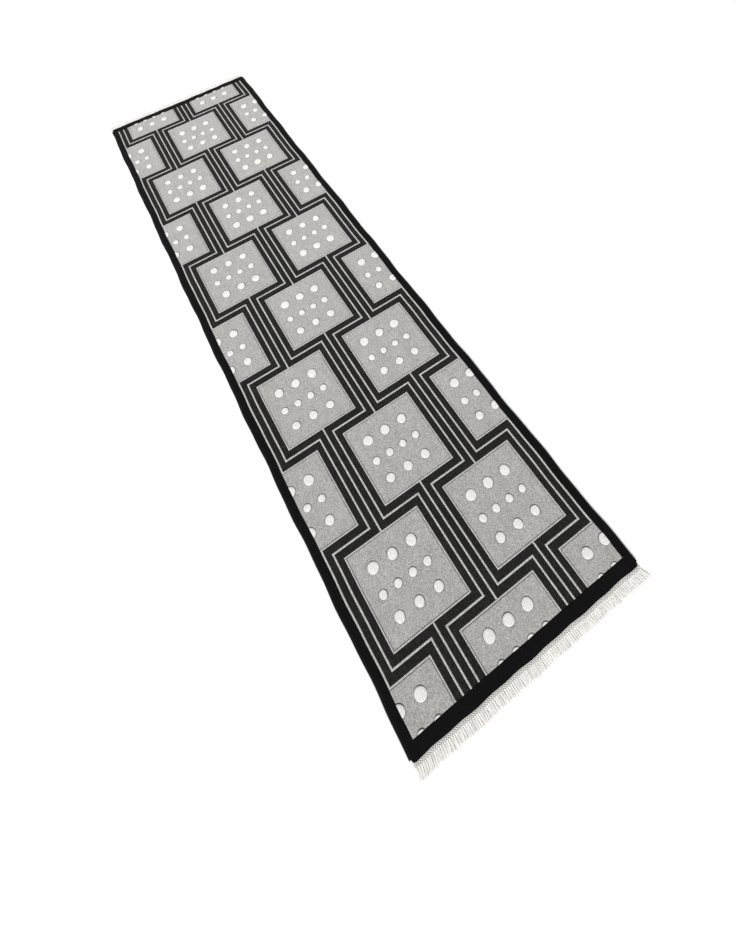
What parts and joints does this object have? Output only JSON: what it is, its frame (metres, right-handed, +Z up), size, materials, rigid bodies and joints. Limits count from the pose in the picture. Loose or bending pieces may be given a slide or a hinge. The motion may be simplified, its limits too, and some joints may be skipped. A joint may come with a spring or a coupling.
{
  "type": "runner rug",
  "caption": "Long narrow pile rug with grey square panels and raised dots in a net of black bands, overcast sides, a fringe on both ends, and a fold across its middle.",
  "frame": {"origin": "centre of the rug's underside, where it lies on the floor, at the middle of its length and width", "axes": "+X along the rug towards its near end, +Y across it towards its right side, +Z up out of the pile"},
  "size_m": [3, 0.8, 0.0129],
  "materials": {
    "back_coat": "matt latex size brushed into the back of the weave",
    "ground_weave": "plain-woven jute and cotton, matt",
    "border_pile": "dense black cut pile, matt",
    "overcast_yarn": "black yarn wrapped round the side edge",
    "band_pile": "charcoal-black cut pile, ribbed along the rows of tufts",
    "panel_pile": "heathered grey cut pile, matt with a soft sheen",
    "line_pile": "light grey cut pile of the thin lines and panel rims",
    "dot_pile": "cream-white cut pile, carved into low domes",
    "fringe_heading": "ivory cotton heading, cross-stitched",
    "fringe_yarn": "ivory twisted cotton yarn"
  },
  "bodies": {
    "near_half": {"back_coat_near": "back_coat", "band_pile_near": "band_pile", "border_end_near": "border_pile", "border_left_near": "border_pile", "border_right_near": "border_pile", "fringe_heading_near": "fringe_heading", "ground_weave_near": "ground_weave", "overcast_edge_left_near": "overcast_yarn", "overcast_edge_right_near": "overcast_yarn", "panel_06_centre": "panel_pile", "panel_06_left_half": "panel_pile", "panel_06_right_half": "panel_pile", "panel_07_left": "panel_pile", "panel_07_right": "panel_pile", "panel_08_centre": "panel_pile", "panel_08_left_half": "panel_pile", "panel_08_right_half": "panel_pile", "panel_09_left": "panel_pile", "panel_09_right": "panel_pile", "panel_10_centre": "panel_pile", "panel_10_left_half": "panel_pile", "panel_10_right_half": "panel_pile"},
    "far_half": {"back_coat_far": "back_coat", "band_pile_far": "band_pile", "border_end_far": "border_pile", "border_left_far": "border_pile", "border_right_far": "border_pile", "fringe_heading_far": "fringe_heading", "ground_weave_far": "ground_weave", "overcast_edge_left_far": "overcast_yarn", "overcast_edge_right_far": "overcast_yarn", "panel_01_left": "panel_pile", "panel_01_right": "panel_pile", "panel_02_centre": "panel_pile", "panel_02_left_half": "panel_pile", "panel_02_right_half": "panel_pile", "panel_03_left": "panel_pile", "panel_03_right": "panel_pile", "panel_04_centre": "panel_pile", "panel_04_left_half": "panel_pile", "panel_04_right_half": "panel_pile", "panel_05_left": "panel_pile", "panel_05_right": "panel_pile"},
    "near_fringe": {"fringe_strands_near": "fringe_yarn"},
    "far_fringe": {"fringe_strands_far": "fringe_yarn"}
  },
  "joints": [
    {"name": "middle_fold", "type": "hinge", "parent": "near_half", "child": "far_half", "pos_m": [0, 0, 0.0145], "axis": [0, 1, 0], "range_deg": [0, 170]},
    {"name": "near_fringe_swing", "type": "hinge", "parent": "near_half", "child": "near_fringe", "pos_m": [1.4673, 0, 0.002], "axis": [0, -1, 0], "range_deg": [-90, 100]},
    {"name": "far_fringe_swing", "type": "hinge", "parent": "far_half", "child": "far_fringe", "pos_m": [-1.4673, 0, 0.002], "axis": [0, 1, 0], "range_deg": [-90, 100]}
  ]
}
